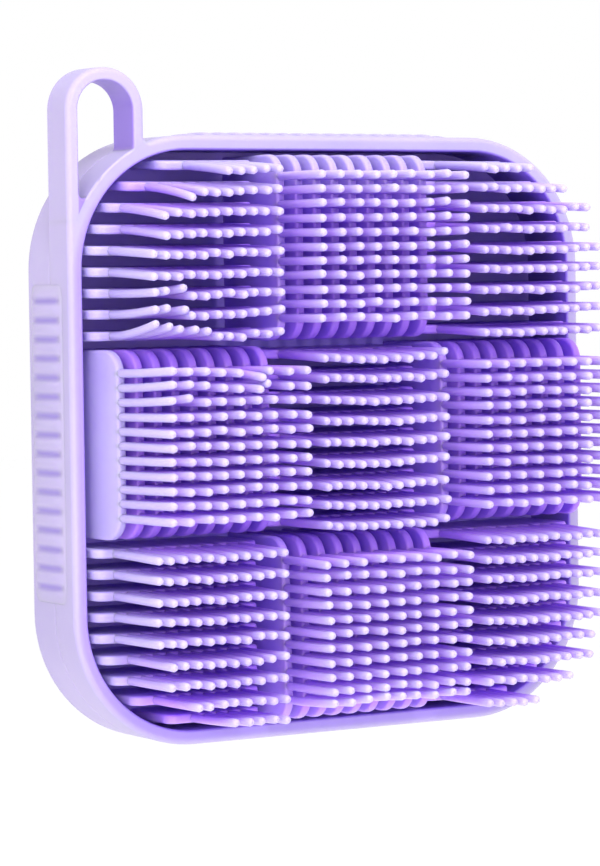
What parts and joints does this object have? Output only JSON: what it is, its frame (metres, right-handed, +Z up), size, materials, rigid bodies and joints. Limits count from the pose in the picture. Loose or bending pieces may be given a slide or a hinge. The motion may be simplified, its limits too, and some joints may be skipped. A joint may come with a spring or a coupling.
{
  "type": "silicone scrubbing comb",
  "caption": "Square soft silicone hand scrubber: a rounded tray filled with blocks of finned bristle combs, ribbed grips on its sides and a hanging loop at one corner.",
  "frame": {"origin": "under the arch of the hanging loop, on the middle plane of the loop's thickness, where a hook bears", "axes": "+Z up as the scrubber hangs, +Y from the bristles to the back, so the bristles point to -Y, +X from the loop's corner across the tray"},
  "size_m": [0.1016, 0.0354, 0.1116],
  "materials": {
    "frame_silicone": "satin",
    "comb_silicone": "satin"
  },
  "bodies": {
    "root": {"front_band": "frame_silicone", "hanging_loop": "frame_silicone", "rear_shell": "frame_silicone", "back_panel": "frame_silicone", "grip_left": "frame_silicone", "grip_right": "frame_silicone", "grip_top": "frame_silicone", "grip_bottom": "frame_silicone", "bristle_floor": "comb_silicone", "comb_block_top_left": "comb_silicone", "comb_block_top_centre": "comb_silicone", "comb_block_top_right": "comb_silicone", "comb_block_middle_left": "comb_silicone", "comb_block_centre": "comb_silicone", "comb_block_middle_right": "comb_silicone", "comb_block_bottom_left": "comb_silicone", "comb_block_bottom_centre": "comb_silicone", "comb_block_bottom_right": "comb_silicone"}
  },
  "joints": []
}
